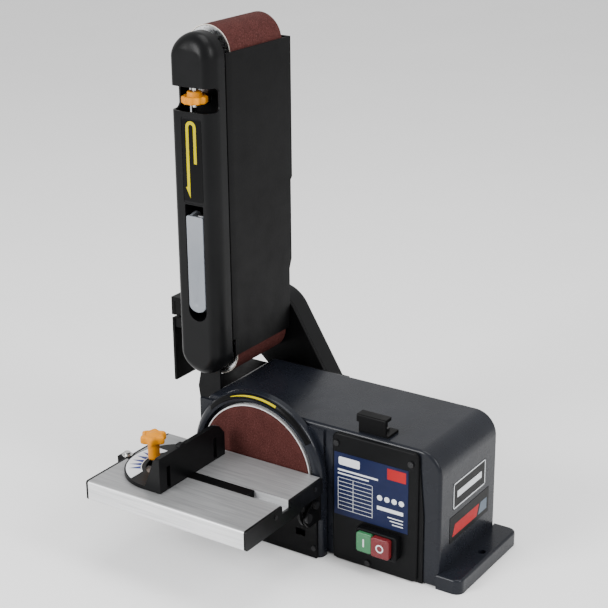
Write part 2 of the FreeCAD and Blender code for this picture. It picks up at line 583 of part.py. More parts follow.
def lobed_knob(count, radius, lobe, x, y, low, high):
    """A round grip with lobes spaced evenly round its rim."""
    core = rod("Z", f"{radius} - {lobe}", low, high, x, y)
    rim = []
    for index in range(count):
        angle = 360 / count * index
        rim.append(rod("Z", lobe + 0.6, low, high,
                       f"{x} + ({radius} - {lobe} - 0.6) * cos({angle} deg)",
                       f"{y} + ({radius} - {lobe} - 0.6) * sin({angle} deg)"))
    return fuse(core, *rim)


# Idler carriage: slides up the arm's plates to tighten the belt and carries the tracking screw.
def idler_parts():
    cross = block((-98.2, -84.8), (42.5, 168), (523.6, 533))
    front = block((-98.2, -84.8), (42.5, 47.4), (523.6, 580))
    back = block((-98.2, -84.8), (163.1, 168), (523.6, 580))
    shelf = block((-98.2, -80), (20, 47.4), (545, 553))
    ways = rod("Y", "drive_shaft_radius - 1 + fit", 40, 170, *IDLER)
    node("idler_carriage", cut(fuse(cross, front, back, shelf), ways,
                               rod("Z", 3.02, 540, 560, "knob_x", "knob_y")))
    node("tracking_screw", rod("Z", 3, 510, 553, "knob_x", "knob_y"))
    node("idler_axle", rod("Y", "drive_shaft_radius - 1", 43, 167.5, *IDLER))
    node("idler_roller", roller("idler_high", "drive_shaft_radius - 1 + fit"))


# Disc table: an extruded top on two slotted trunnions between fixed brackets.
def table_profile(low, high):
    corners = [("table_front", "table_skirt"), (-50, "table_skirt"), (-45, "table_under"),
               ("table_back", "table_under"), ("table_back", "table_top"), ("slot_back", "table_top"),
               ("slot_back", "slot_floor"), ("slot_front", "slot_floor"), ("slot_front", "table_top"),
               ("table_front", "table_top")]
    return plate("X", low, high, corners, rounds={"3": [0, 9], "1.5": [3, 4]})


def table():
    extrusion = table_profile("table_left + cap_thick", "table_right - cap_thick")
    rooms = [block(("table_left - 1", "table_right + 1"), (front, back), (low, high))
             for front, back, low, high in ((-149, -89, 87, 104), (-63, -6, 91, 104))]
    node("table_top", cut(extrusion, *rooms))
    node("table_end_caps", group(table_profile("table_left", "table_left + cap_thick"),
                                 table_profile("table_right - cap_thick", "table_right")))
    caps = [screw("X", way, 2.6, 1.2, 1.4, 2.8, x, y, 99.5)
            for way, x in ((-1, "table_left"), (1, "table_right")) for y in (-97, -18)]
    node("end_cap_screws", group(*caps))
    node("table_trunnions", group(trunnion(1), trunnion(-1)))
    node("table_brackets", group(bracket(1), bracket(-1)))
    spots = (("lock_y", "lock_high", 5.5), ("tilt_y", "tilt_high", 4.5))
    node("table_lock_screws", group(*[lock_screw(side, *spot) for side in (1, -1) for spot in spots]))


def sided(side, low, high):
    """A span measured outwards on the right, mirrored for the left."""
    return (low, high) if side > 0 else (f"0 - ({high})", f"0 - ({low})")


def trunnion(side):
    """A hanging quadrant with a curved slot round the table's tilt axis."""
    span = sided(side, "ear_in", "ear_out")
    reach = "lock_reach"
    outer = rod("X", f"{reach} + 7.5", *span, "tilt_y", "tilt_high")
    keep = plate("X", *span, [("tilt_y + 5.5", "tilt_high - 5"), ("tilt_y + 5.5", "table_under"),
                              ("tilt_y - 30", "table_under"), ("tilt_y - 30", "tilt_high - 8"),
                              ("tilt_y - 18", "tilt_high - 21")])
    quadrant = doc.addObject("Part::Common", "quadrant")
    quadrant.Base = outer
    quadrant.Tool = keep
    foot = block(sided(side, "ear_in - 12", "ear_out"), ("tilt_y - 25", "tilt_y + 4"),
                 ("table_under - 2.2", "table_under"))
    pivot = rod("X", "pin_radius + fit", f"{span[0]} - 1", f"{span[1]} + 1", "tilt_y", "tilt_high")
    groove = []
    for step in range(10):
        angle = 212 - 5 * step
        groove.append(rod("X", "pin_radius + 0.5", f"{span[0]} - 1", f"{span[1]} + 1",
                          f"tilt_y + {reach} * cos({angle} deg)",
                          f"tilt_high + {reach} * sin({angle} deg)"))
    return cut(fuse(quadrant, foot), pivot, *groove)


def bracket(side):
    span = sided(side, "bracket_in", "bracket_out")
    ear = plate("X", *span, [(0, 52), (0, 84), ("tilt_y", 84), ("lock_y - 5.5", "lock_high + 2"),
                             ("lock_y - 5.5", "lock_high - 4"), ("lock_y + 3", 52)],
                holes=[("tilt_y", "tilt_high", "pin_radius + 0.02"),
                       ("lock_y", "lock_high", "pin_radius + 0.02")],
                rounds={"3": [3, 4]})
    foot = block(sided(side, "bracket_in", "shroud_radius"), (-3, 0), (52, 84))
    return fuse(ear, foot)


def lock_screw(side, y, z, head):
    low, high = sided(side, "ear_in - 2.6", "bracket_out")
    cap_low, cap_high = sided(side, "bracket_out", "bracket_out + 3.4")
    nut_low, nut_high = sided(side, "ear_in - 2.6", "ear_in - 0.4")
    return fuse(rod("X", "pin_radius", low, high, y, z), rod("X", head, cap_low, cap_high, y, z),
                rod("X", "pin_radius + 1", nut_low, nut_high, y, z))


# Mitre gauge: a bar in the table's slot, a swinging head with its fence, and a lock knob.
def mitre_gauge():
    bar = block(("bar_left", "bar_right"), ("bar_front", "bar_back"), ("bar_low", "bar_high"))
    node("mitre_bar", bar)
    stud = rod("Z", 2.8, "bar_high", "mitre_knob_low + 5.8", "mitre_knob_x", "head_y")
    end = fuse(rod("Z", 6.5, "bar_high", "bar_high + 1.2", -131, "head_y"),
               rod("Z", 3.8, "bar_high + 1.2", "bar_high + 4.4", -131, "head_y"))
    pivot_pin = rod("Z", 2.6, "bar_high", "head_low + 6.5", "head_x", "head_y")
    node("mitre_bar_screws", group(stud, end, pivot_pin))
    high = "head_low + head_thick"
    disc = rod("Z", "head_radius", "head_low", high, "head_x", "head_y")
    trim = block((-125, "fence_face"), (-140, -10), ("head_low - 1", f"{high} + 1"))
    half = doc.addObject("Part::Common", "half_disc")
    half.Base = disc
    half.Tool = trim
    foot = block(("fence_face - 20", "fence_face"), ("fence_front", "fence_front + 60"), ("head_low", high))
    wall = plate("X", "fence_face - 6", "fence_face",
                 [("fence_front", "head_low"), ("fence_back", "head_low"), ("fence_back", 136), (-22, 147.5),
                  (-31, "fence_high"), (-86, "fence_high"), (-88, "fence_high + 2.5"),
                  (-95, "fence_high + 2.5"), (-97, "fence_high"),
                  ("fence_front + 2", "fence_high"), ("fence_front", "fence_high - 2")])
    ribs = []
    for start, thick in (("fence_front", 12), (-50, 4)):
        ribs.append(plate("Y", start, f"{start} + {thick}",
                          [("fence_face - 5", "head_low"), ("fence_face - 5", "fence_high - 3"),
                           ("fence_face - 8", "fence_high - 3"), ("fence_face - 22", high),
                           ("fence_face - 22", "head_low")]))
    slots = [block(("fence_face - 8", "fence_face + 1"), (y, f"{y} + 6"), ("head_low + 2", 136))
             for y in (-121, -34)]
    pivot = rod("Z", 2.65, "head_low - 1", f"{high} + 3", "head_x", "head_y")
    groove = []
    for step in range(25):
        angle = 120 + 5 * step
        groove.append(rod("Z", 3.4, "head_low - 1", f"{high} + 1",
                          f"head_x + (head_x - mitre_knob_x) * cos({angle} deg)",
                          f"head_y + (head_x - mitre_knob_x) * sin({angle} deg)"))
    node("mitre_head", cut(fuse(half, foot, wall, *ribs), pivot, *groove, *slots))
    ring = cut(rod("Z", "head_radius - 2", high, f"{high} + 0.5", "head_x", "head_y"),
               rod("Z", "head_radius - 20", f"{high} - 1", f"{high} + 1.5", "head_x", "head_y"),
               block(("head_x - 22", 0), (-140, -10), (f"{high} - 1", f"{high} + 2")),
               block((-140, 0), ("head_y + 26", 0), (f"{high} - 1", f"{high} + 2")))
    node("mitre_scale", ring)
    knob = lobed_knob(6, "mitre_knob_radius", 4, "mitre_knob_x", "head_y",
                      "mitre_knob_low", "mitre_knob_high")
    stem = rod("Z", 7, f"{high} + 1.6", "mitre_knob_low", "mitre_knob_x", "head_y")
    node("mitre_knob", cut(fuse(knob, stem), rod("Z", 2.85, f"{high} + 1", "mitre_knob_low + 6",
                                                 "mitre_knob_x", "head_y")))


def export():
    doc.recompute()
    broken = [item.Label for item in doc.Objects if {"Invalid", "Error"} & set(item.State)]
    for item in NODES:
        shape = item.Shape
        if shape.isNull() or not shape.isValid() or not shape.Solids:
            broken.append(item.Label)
    if broken:
        raise RuntimeError(f"broken objects: {broken}")
    os.makedirs("parts", exist_ok=True)
    for item in NODES:
        item.Shape.exportStep(f"parts/{item.Label}.step")
    print(len(NODES), "sub-parts")


housing()
base_parts()
base_screws()
controls()
motor()
rear()
yoke()
drive_parts()
belt_arm()
arm_controls()
idler_parts()
table()
mitre_gauge()
export()
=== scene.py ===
import math

import bmesh
import bpy
from mathutils import Matrix, Vector


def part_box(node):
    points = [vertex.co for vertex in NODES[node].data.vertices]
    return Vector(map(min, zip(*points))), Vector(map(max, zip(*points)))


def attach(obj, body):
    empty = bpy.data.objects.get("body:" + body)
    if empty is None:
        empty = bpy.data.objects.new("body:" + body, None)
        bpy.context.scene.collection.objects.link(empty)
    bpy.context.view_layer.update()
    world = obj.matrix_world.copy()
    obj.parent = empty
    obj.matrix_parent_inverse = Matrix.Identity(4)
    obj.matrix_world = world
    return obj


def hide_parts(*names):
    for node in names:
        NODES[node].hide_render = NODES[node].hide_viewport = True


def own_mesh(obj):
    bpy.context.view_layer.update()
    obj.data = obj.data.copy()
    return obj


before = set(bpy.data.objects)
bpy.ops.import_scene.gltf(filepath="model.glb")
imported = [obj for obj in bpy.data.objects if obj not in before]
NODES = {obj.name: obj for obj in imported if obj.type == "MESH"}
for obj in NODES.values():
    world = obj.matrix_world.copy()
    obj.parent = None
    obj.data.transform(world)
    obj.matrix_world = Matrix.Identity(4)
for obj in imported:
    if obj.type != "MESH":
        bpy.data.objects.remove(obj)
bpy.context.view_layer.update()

MM = 0.001

# The disc's axis is the machine's own reference: centre in x and z, front face in y.
disc_low, disc_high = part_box("disc_paper")
DISC = Vector(((disc_low.x + disc_high.x) / 2, disc_low.y, (disc_low.z + disc_high.z) / 2))


def spot(x, y, z):
    """A point given in millimetres: x from the disc's axis, y from its face, z from the bench."""
    return Vector((DISC.x + x * MM, DISC.y + y * MM, z * MM))


# ---------------------------------------------------------------- materials

COLOUR_A, COLOUR_B, COLOUR_OUT = 6, 7, 2    # a mix node's colour sockets


def new_material(name):
    mat = bpy.data.materials.new(name)
    mat.use_nodes = True
    tree = mat.node_tree
    return mat, tree, tree.nodes["Principled BSDF"]


def link(tree, source, output, target, entry):
    tree.links.new(source.outputs[output], target.inputs[entry])


def object_coordinates(tree, scale=(1, 1, 1)):
    place = tree.nodes.new("ShaderNodeTexCoord")
    mapping = tree.nodes.new("ShaderNodeMapping")
    mapping.inputs["Scale"].default_value = scale
    link(tree, place, "Object", mapping, "Vector")
    return mapping


def noise(tree, scale, detail=4.0, stretch=(1, 1, 1), rough=0.5):
    node = tree.nodes.new("ShaderNodeTexNoise")
    node.inputs["Scale"].default_value = scale
    node.inputs["Detail"].default_value = detail
    node.inputs["Roughness"].default_value = rough
    link(tree, object_coordinates(tree, stretch), "Vector", node, "Vector")
    return node


def ramp(tree, source, output, stops):
    node = tree.nodes.new("ShaderNodeValToRGB")
    elements = node.color_ramp.elements
    elements[0].position, elements[0].color = stops[0][0], (*stops[0][1], 1)
    elements[1].position, elements[1].color = stops[-1][0], (*stops[-1][1], 1)
    for position, colour in stops[1:-1]:
        elements.new(position).color = (*colour, 1)
    link(tree, source, output, node, "Fac")
    return node


def remap(tree, source, output, low, high, start=0.3, end=0.7):
    node = tree.nodes.new("ShaderNodeMapRange")
    node.inputs["From Min"].default_value = start
    node.inputs["From Max"].default_value = end
    node.inputs["To Min"].default_value = low
    node.inputs["To Max"].default_value = high
    link(tree, source, output, node, "Value")
    return node


def bump(tree, shader, source, output, strength, distance, after=None):
    node = tree.nodes.new("ShaderNodeBump")
    node.inputs["Strength"].default_value = strength
    node.inputs["Distance"].default_value = distance
    link(tree, source, output, node, "Height")
    if after:
        link(tree, after, "Normal", node, "Normal")
    link(tree, node, "Normal", shader, "Normal")
    return node


def mix_colours(tree, first, second, blend="MIX"):
    """A node that mixes two colour outputs, all the way unless its Factor is linked."""
    node = tree.nodes.new("ShaderNodeMix")
    node.data_type = "RGBA"
    node.blend_type = blend
    node.inputs["Factor"].default_value = 1.0
    tree.links.new(first, node.inputs[COLOUR_A])
    tree.links.new(second, node.inputs[COLOUR_B])
    return node


def normal_parts(tree):
    """The object's own normal, split into X, Y and Z."""
    place = tree.nodes.new("ShaderNodeTexCoord")
    split = tree.nodes.new("ShaderNodeSeparateXYZ")
    link(tree, place, "Normal", split, "Vector")
    return split


def coated(name, dark, light, rough, peel=0.25, peel_scale=160, coat=0.0, metallic=0.0,
           grain=0.0, grain_scale=2200, patch_scale=14, specular=0.5):
    """Paint or moulded plastic: slow colour drift, uneven gloss, a soft surface ripple and a fine grain."""
    mat, tree, shader = new_material(name)
    drift = noise(tree, patch_scale, 6)
    link(tree, ramp(tree, drift, "Fac", [(0.3, dark), (0.7, light)]), "Color", shader, "Base Color")
    smudge = noise(tree, patch_scale * 3.1, 8, rough=0.65)
    link(tree, remap(tree, smudge, "Fac", rough[0], rough[1]), "Result", shader, "Roughness")
    ripple = bump(tree, shader, noise(tree, peel_scale, 2), "Fac", peel, 0.0004)
    if grain:
        bump(tree, shader, noise(tree, grain_scale, 3), "Fac", grain, 0.00015, after=ripple)
    shader.inputs["Metallic"].default_value = metallic
    shader.inputs["Coat Weight"].default_value = coat
    shader.inputs["Coat Roughness"].default_value = 0.12
    shader.inputs["Specular IOR Level"].default_value = specular
    return mat


def brushed(name, dark, light, rough, stretch, scale=60, strength=0.25, metallic=1.0):
    """Metal with fine lines that run one way."""
    mat, tree, shader = new_material(name)
    lines = noise(tree, scale, 6, stretch, 0.7)
    broad = noise(tree, scale * 0.12, 4, stretch)
    mix = tree.nodes.new("ShaderNodeMix")
    mix.data_type = "FLOAT"
    mix.inputs["Factor"].default_value = 0.35
    link(tree, lines, "Fac", mix, "A")
    link(tree, broad, "Fac", mix, "B")
    link(tree, ramp(tree, mix, "Result", [(0.36, dark), (0.62, light)]), "Color", shader, "Base Color")
    link(tree, remap(tree, lines, "Fac", rough[0], rough[1]), "Result", shader, "Roughness")
    bump(tree, shader, lines, "Fac", strength, 0.00008)
    shader.inputs["Metallic"].default_value = metallic
    return mat


def abrasive(name):
    """Bonded grit: dark binder with pale and red grains, rough all over."""
    mat, tree, shader = new_material(name)
    grit = tree.nodes.new("ShaderNodeTexVoronoi")
    grit.inputs["Scale"].default_value = 1500
    link(tree, object_coordinates(tree), "Vector", grit, "Vector")
    fine = noise(tree, 2600, 3, rough=0.7)
    speckle = noise(tree, 620, 6, rough=0.85)
    grains = ramp(tree, speckle, "Fac", [(0.3, (0.018, 0.0055, 0.005)), (0.47, (0.054, 0.0145, 0.0125)),
                                         (0.6, (0.095, 0.031, 0.027)), (0.72, (0.24, 0.14, 0.125))])
    tint = ramp(tree, noise(tree, 70, 5), "Fac", [(0.35, (0.82, 0.8, 0.8)), (0.65, (1.0, 1.0, 1.0))])
    shade = mix_colours(tree, grains.outputs["Color"], tint.outputs["Color"], "MULTIPLY")
    tree.links.new(shade.outputs[COLOUR_OUT], shader.inputs["Base Color"])
    coarse = bump(tree, shader, grit, "Distance", 0.7, 0.0003)
    bump(tree, shader, fine, "Fac", 0.6, 0.0002, after=coarse)
    link(tree, remap(tree, fine, "Fac", 0.95, 0.6), "Result", shader, "Roughness")
    shader.inputs["Specular IOR Level"].default_value = 0.1
    return mat, tree, shader, shade


def belt_material():
    """Grit on a cloth backing, which shows pale at the belt's cut edges."""
    mat, tree, shader, shade = abrasive("belt_grit")
    side = tree.nodes.new("ShaderNodeMath")
    side.operation = "ABSOLUTE"
    link(tree, normal_parts(tree), "Y", side, 0)
    edge = remap(tree, side, "Value", 0, 1, 0.75, 0.85)
    cloth = ramp(tree, noise(tree, 900, 3), "Fac", [(0.3, (0.62, 0.57, 0.5)), (0.7, (0.82, 0.78, 0.72))])
    mix = mix_colours(tree, shade.outputs[COLOUR_OUT], cloth.outputs["Color"])
    link(tree, edge, "Result", mix, "Factor")
    tree.links.new(mix.outputs[COLOUR_OUT], shader.inputs["Base Color"])
    return mat


def disc_material():
    return abrasive("disc_grit")[0]


def table_material():
    """Anodised brushed extrusion, with painted shade: upward-facing faces are darkened to half, so the front reads
    bright and the top duller.
    """
    mat, tree, shader = new_material("brushed_table_aluminium")
    lines = noise(tree, 260, 6, (0.05, 1.6, 1.6), 0.7)
    tone = ramp(tree, lines, "Fac", [(0.36, (0.56, 0.565, 0.575)), (0.62, (0.74, 0.745, 0.755))])
    # painted shade: the base colour is multiplied down to half on faces that point up
    painted_top_shade = remap(tree, normal_parts(tree), "Z", 1.0, 0.5, 0.6, 0.9)
    shade = mix_colours(tree, tone.outputs["Color"], painted_top_shade.outputs["Result"], "MULTIPLY")
    tree.links.new(shade.outputs[COLOUR_OUT], shader.inputs["Base Color"])
    link(tree, remap(tree, lines, "Fac", 0.38, 0.5), "Result", shader, "Roughness")
    bump(tree, shader, lines, "Fac", 0.22, 0.00008)
    shader.inputs["Metallic"].default_value = 0.6
    return mat


M = {
    "housing": coated("housing_enamel", (0.0062, 0.0072, 0.0105), (0.0095, 0.011, 0.0155), (0.22, 0.34),
                      peel=0.1, peel_scale=230, coat=0.12, specular=0.14, grain=0.08, grain_scale=900),
    "plastic": coated("satin_black_plastic", (0.002, 0.0021, 0.0024), (0.0036, 0.0037, 0.0041), (0.28, 0.4),
                      peel=0.06, peel_scale=120, grain=0.22, grain_scale=1700, specular=0.13),
    "panel": coated("moulded_panel_plastic", (0.002, 0.0021, 0.0024), (0.0034, 0.0036, 0.004), (0.34, 0.5),
                    peel=0.06, grain=0.4, grain_scale=1500, specular=0.1),
    "sheet": coated("powder_coated_sheet", (0.0018, 0.0018, 0.002), (0.0032, 0.0032, 0.0035), (0.32, 0.48),
                    peel=0.2, peel_scale=420, grain=0.12, grain_scale=2600, specular=0.08),
    "casting": coated("black_casting", (0.0018, 0.0019, 0.0021), (0.0036, 0.0037, 0.0042), (0.36, 0.56),
                      peel=0.35, peel_scale=300, grain=0.2, specular=0.11),
    "amber": coated("amber_plastic", (0.58, 0.2, 0.0), (0.7, 0.26, 0.001), (0.34, 0.5), peel=0.08,
                    grain=0.2, grain_scale=1800, specular=0.15),
    "silver": coated("silver_painted_plastic", (0.185, 0.2, 0.225), (0.23, 0.245, 0.27), (0.38, 0.48),
                     peel=0.1, grain=0.3, grain_scale=3200, metallic=0.15, specular=0.35),
    "green": coated("green_button_plastic", (0.03, 0.13, 0.055), (0.042, 0.175, 0.075), (0.2, 0.32),
                    peel=0.06, coat=0.2, specular=0.25),
    "red": coated("red_button_plastic", (0.095, 0.009, 0.011), (0.14, 0.013, 0.016), (0.2, 0.32), peel=0.06,
                  coat=0.2, specular=0.25),
    "blue_film": coated("blue_label_film", (0.006, 0.0095, 0.036), (0.008, 0.0125, 0.047), (0.28, 0.4),
                        peel=0.06, patch_scale=40, specular=0.12),
    "pale_film": coated("pale_print", (0.6, 0.62, 0.65), (0.7, 0.72, 0.74), (0.4, 0.55), peel=0.03,
                        specular=0.3),
    "red_film": coated("red_print", (0.3, 0.008, 0.01), (0.37, 0.012, 0.015), (0.4, 0.55), peel=0.03,
                       specular=0.15),
    "dark_film": coated("dark_label_film", (0.0012, 0.0012, 0.0014), (0.0022, 0.0022, 0.0025), (0.26, 0.36),
                        peel=0.05, specular=0.08),
    "yellow_film": coated("yellow_print", (0.4, 0.33, 0.0), (0.48, 0.4, 0.0), (0.4, 0.55), peel=0.03,
                          specular=0.06),
    "violet_film": coated("dark_blue_print", (0.02, 0.03, 0.15), (0.028, 0.042, 0.19), (0.4, 0.55), peel=0.03,
                          specular=0.3),
    "grey_film": coated("grey_print", (0.07, 0.095, 0.13), (0.09, 0.12, 0.155), (0.35, 0.5), peel=0.03,
                        specular=0.3),
    "rubber": coated("belt_rubber", (0.008, 0.008, 0.008), (0.014, 0.014, 0.014), (0.7, 0.9), peel=0.4,
                     grain=0.5, specular=0.25),
    "screw": coated("black_screw", (0.008, 0.008, 0.009), (0.02, 0.02, 0.021), (0.3, 0.46), peel=0.2,
                    metallic=0.5, specular=0.4),
    "table": table_material(),
    "rim": brushed("satin_disc_aluminium", (0.66, 0.665, 0.67), (0.8, 0.805, 0.81), (0.4, 0.52),
                   (1, 1, 1), 240, 0.15, 0.35),
    "aluminium": brushed("turned_aluminium", (0.5, 0.51, 0.52), (0.72, 0.73, 0.74), (0.22, 0.36),
                         (1, 0.08, 1), 300),
    "steel": brushed("ground_steel", (0.24, 0.245, 0.255), (0.4, 0.405, 0.415), (0.25, 0.42),
                     (1, 0.1, 1), 260),
    "zinc": brushed("zinc_plate", (0.48, 0.48, 0.47), (0.68, 0.68, 0.66), (0.2, 0.36), (1, 1, 1), 300, 0.2),
    "iron": brushed("laminated_iron", (0.1, 0.1, 0.105), (0.19, 0.19, 0.195), (0.4, 0.6),
                    (0.1, 5, 0.1), 300, 0.4),
    "belt": belt_material(),
    "grit": disc_material(),
}

FINISHES = {
    "housing": ["housing"],
    "panel": ["control_panel", "switch_body"],
    "plastic": ["arm_cover", "table_end_caps", "mitre_head", "rear_cover", "cable_gland", "capacitor",
                "motor_fan"],
    "sheet": ["lower_disc_guard", "belt_guard", "work_stop", "stop_guard", "bottom_plate", "rest_clip",
              "mitre_bar", "table_trunnions", "table_brackets", "arm_frame"],
    "casting": ["pivot_yoke", "rear_bracket"],
    "zinc": ["mitre_bar_screws", "yoke_bolts", "tracking_screw"],
    "steel": ["motor_can", "motor_bearings", "pivot_bearings", "motor_shaft", "drive_shaft", "idler_axle",
              "platen", "lever_pin", "idler_carriage", "tension_spring"],
    "aluminium": ["motor_end_bells", "motor_pulley", "drive_roller", "roller_pulley", "idler_roller"],
    "iron": ["motor_stator", "rotor_core"],
    "rim": ["disc_plate"],
    "table": ["table_top"],
    "rubber": ["drive_belt"],
    "belt": ["abrasive_belt"],
    "grit": ["disc_paper"],
    "blue_film": ["rating_label"],
    "dark_film": ["direction_label", "end_badges"],
    "pale_film": ["mitre_scale"],
    "amber": ["mitre_knob", "tracking_knob"],
    "silver": ["tension_lever"],
    "green": ["start_button"],
    "red": ["stop_button"],
    "screw": ["base_screws", "arm_screws", "end_cap_screws", "table_lock_screws"],
}


def paint(piece, key):
    piece.data.materials.clear()
    piece.data.materials.append(M[key])


def soften(piece, width=0.5, segments=2):
    """Weld the CAD faces together and round their sharp edges a little, so that they catch the light."""
    weld = piece.modifiers.new("weld", "WELD")
    weld.merge_threshold = 0.000005
    bevel = piece.modifiers.new("edge", "BEVEL")
    bevel.width = width * MM
    bevel.segments = segments
    bevel.limit_method = "ANGLE"
    bevel.angle_limit = math.radians(40)
    bevel.use_clamp_overlap = True
    bevel.harden_normals = False
    normals = piece.modifiers.new("normals", "WEIGHTED_NORMAL")
    normals.keep_sharp = False
    normals.weight = 50


for key, names in FINISHES.items():
    for name in names:
        paint(NODES[name], key)

EDGES = {"housing": 0.7, "control_panel": 0.5, "switch_body": 0.5, "work_stop": 0.6, "stop_guard": 0.4,
         "lower_disc_guard": 0.4, "rest_clip": 0.5, "mitre_head": 0.6, "mitre_bar": 0.5, "table_top": 0.4,
         "table_end_caps": 0.4, "pivot_yoke": 1.2, "rear_bracket": 0.8, "rear_cover": 0.6,
         "belt_guard": 0.3, "table_brackets": 0.4}
for name, width in EDGES.items():
    soften(NODES[name], width)


# ---------------------------------------------------------------- mesh helpers

def new_piece(name, mesh, key, body):
    piece = bpy.data.objects.new(name, mesh)
    bpy.context.scene.collection.objects.link(piece)
    paint(piece, key)
    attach(piece, body)
    return piece


def from_bmesh(shape, name, smooth=True):
    bmesh.ops.recalc_face_normals(shape, faces=shape.faces)
    mesh = bpy.data.meshes.new(name)
    shape.to_mesh(mesh)
    shape.free()
    if smooth:
        mesh.shade_smooth()
    return mesh


def arc(centre, radius, start, end, steps):
    """Points on a circle in a flat plane, from one angle to another in degrees."""
    points = []
    for i in range(steps + 1):
        angle = math.radians(start + (end - start) * i / steps)
        points.append((centre[0] + radius * math.cos(angle), centre[1] + radius * math.sin(angle)))
    return points


def prism(shape, outline, low, high, axis="Y"):
    """Adds a closed prism to a bmesh, in millimetres: outline in two axes, low and high along the third."""
    def lift(u, v, w):
        return {"X": spot(w, u, v), "Y": spot(u, w, v), "Z": spot(u, v, w)}[axis]
    ends = [[shape.verts.new(lift(u, v, w)) for u, v in outline] for w in (low, high)]
    shape.faces.new(ends[0])
    shape.faces.new(list(reversed(ends[1])))
    count = len(outline)
    for i in range(count):
        shape.faces.new((ends[0][i], ends[1][i], ends[1][(i + 1) % count], ends[0][(i + 1) % count]))


def rectangle(x0, x1, z0, z1, corner=0.0):
    if not corner:
        return [(x0, z0), (x1, z0), (x1, z1), (x0, z1)]
    points = []
    for x, z, start in ((x1 - corner, z1 - corner, 0), (x0 + corner, z1 - corner, 90),
                        (x0 + corner, z0 + corner, 180), (x1 - corner, z0 + corner, 270)):
        points += arc((x, z), corner, start, start + 90, 6)
    return points


def bevelled(piece, width, segments=3):
    edge = piece.modifiers.new("edge", "BEVEL")
    edge.width = width * MM
    edge.segments = segments
    edge.limit_method = "ANGLE"
    edge.angle_limit = math.radians(35)
    normals = piece.modifiers.new("normals", "WEIGHTED_NORMAL")
    normals.keep_sharp = False


def lobed(name, centre, profile, lobes, depth, steps=120):
    """A grip turned about Z from (radius, height, lobe share) rings, drawn in between its lobes."""
    shape = bmesh.new()
    rings = []
    for radius, height, share in profile:
        ring = []
        for i in range(steps):
            angle = math.tau * i / steps
            wave = (0.5 - 0.5 * math.cos(lobes * angle)) ** 0.8
            reach = radius - depth * share * wave
            ring.append(shape.verts.new(spot(centre[0] + reach * math.cos(angle),
                                             centre[1] + reach * math.sin(angle), height)))
        rings.append(ring)
    for lower, upper in zip(rings, rings[1:]):
        for i in range(steps):
            shape.faces.new((lower[i], lower[(i + 1) % steps], upper[(i + 1) % steps], upper[i]))
    shape.faces.new(list(reversed(rings[0])))
    shape.faces.new(rings[-1])
    return from_bmesh(shape, name)


# ---------------------------------------------------------------- knobs and lever

DIMPLE_BALL, DIMPLE_DEEP = 11.0, 0.9        # the ball that presses the lever's thumb dimple, and how deep


def node_span(name):
    """A node's box as (low, high) points, in the millimetres that spot() takes."""
    low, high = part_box(name)
    lift = Vector((0, 0, DISC.z / MM))
    return (low - DISC) / MM + lift, (high - DISC) / MM + lift


def mitre_knob():
    low, high = node_span("mitre_knob")
    radius = (high.x - low.x) / 2
    centre = ((low.x + high.x) / 2, (low.y + high.y) / 2)
    grip = high.z - 12.0
    profile = [(5.5, low.z + 0.4, 0), (6.8, low.z + 0.9, 0), (7.0, low.z + 3, 0), (7.0, grip - 2, 0),
               (7.8, grip - 0.6, 0), (10, grip, 0.2), (radius - 2.4, grip + 0.4, 1),
               (radius - 0.7, grip + 1.3, 1), (radius, grip + 2.6, 1), (radius, grip + 7.4, 1),
               (radius - 0.5, grip + 9.2, 1),
               (radius - 1.9, grip + 10.4, 0.95), (radius - 4.2, grip + 10.8, 0.75), (9.6, grip + 10.7, 0.25),
               (8.9, grip + 10.2, 0), (8.4, grip + 10.4, 0), (4, grip + 11.4, 0), (0.8, grip + 11.8, 0)]
    mesh = lobed("mitre_grip", centre, profile, 6, 3.6)
    piece = new_piece("mitre_grip", mesh, "amber", "gauge_knob")
    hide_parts("mitre_knob")


def tracking_knob():
    low, high = node_span("tracking_knob")
    radius = (high.x - low.x) / 2
    centre = ((low.x + high.x) / 2, (low.y + high.y) / 2)
    rim = high.z - 5
    profile = [(5, low.z + 0.5, 0), (9, low.z + 0.1, 0), (radius - 3.2, low.z + 0.2, 0.8),
               (radius - 1, low.z + 0.7, 1), (radius, low.z + 2, 1), (radius, rim - 2, 1),
               (radius - 0.7, rim - 0.7, 1), (radius - 2.2, rim - 0.2, 1),
               (radius - 4, rim - 0.6, 0.4), (9.3, rim - 1, 0), (8.7, rim - 0.4, 0), (8.5, high.z - 1, 0),
               (8, high.z - 0.3, 0), (6.8, high.z, 0), (3.6, high.z, 0), (3.4, high.z - 0.6, 0)]
    mesh = lobed("tracking_grip", centre, profile, 10, 1.9, 160)
    piece = new_piece("tracking_grip", mesh, "amber", "tracking")
    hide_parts("tracking_knob")


def tension_lever():
    low, high = node_span("tension_lever")
    middle = (low.x + high.x) / 2
    half = (high.x - low.x) / 2 - 0.1
    shape = bmesh.new()
    outline = arc((middle, low.z + 9), half, 180, 360, 28)
    outline = [(x, low.z + 9 + (z - low.z - 9) * 0.75) for x, z in outline]
    outline += arc((middle + half - 2, high.z - 4), 2, 0, 90, 5)
    outline += arc((middle - half + 2, high.z - 4), 2, 90, 180, 5)
    prism(shape, outline, low.y, low.y + 4.2)
    plate = new_piece("lever_plate", from_bmesh(shape, "lever_plate"), "silver", "lever")
    bevelled(plate, 1.1, 4)
    bake(plate, [ball((middle, low.y - DIMPLE_BALL + DIMPLE_DEEP, low.z + 12), DIMPLE_BALL)])
    shape = bmesh.new()
    pivot_y, pivot_z = high.y - 6.5, high.z - 6.5
    for x in (middle - half + 1, middle + half - 5):
        side = [(low.y + 3.5, high.z - 26), (low.y + 3.5, high.z - 3), (pivot_y, high.z)]
        side += arc((pivot_y, pivot_z), 6.4, 80, -80, 12) + [(pivot_y - 4, pivot_z - 8)]
        prism(shape, side, x, x + 4, axis="X")
    ears = new_piece("lever_ears", from_bmesh(shape, "lever_ears"), "silver", "lever")
    bevelled(ears, 0.4, 2)
    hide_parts("tension_lever")


# ---------------------------------------------------------------- arm cover

